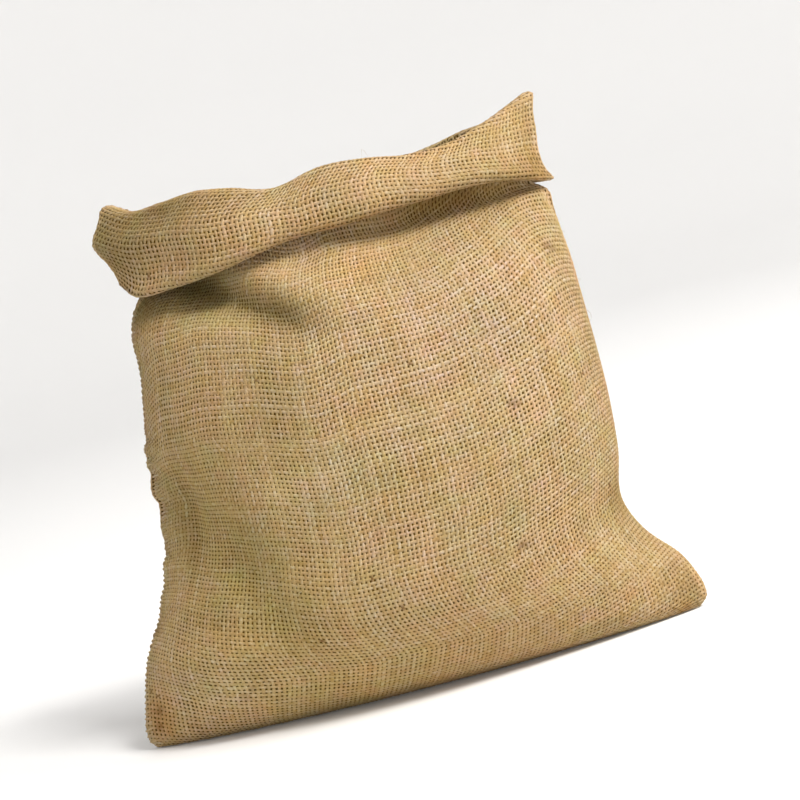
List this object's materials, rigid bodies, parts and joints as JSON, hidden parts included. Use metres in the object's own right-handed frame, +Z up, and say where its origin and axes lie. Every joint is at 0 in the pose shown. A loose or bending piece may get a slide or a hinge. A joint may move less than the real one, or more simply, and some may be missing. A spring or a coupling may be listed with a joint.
{
  "type": "burlap bag",
  "caption": "Upright burlap sack with a filled-out body, a flat base and an open mouth rolled outward into a cuff.",
  "frame": {"origin": "middle of the bag's length and depth, at the surface it stands on", "axes": "+X runs along the bag's width towards its folded side, -X towards its sewn side, -Y out of its front, +Z up"},
  "size_m": [0.3052, 0.1402, 0.284],
  "materials": {
    "burlap": "matte open plain weave"
  },
  "bodies": {
    "root": {"bag_cloth": "burlap"}
  },
  "joints": []
}
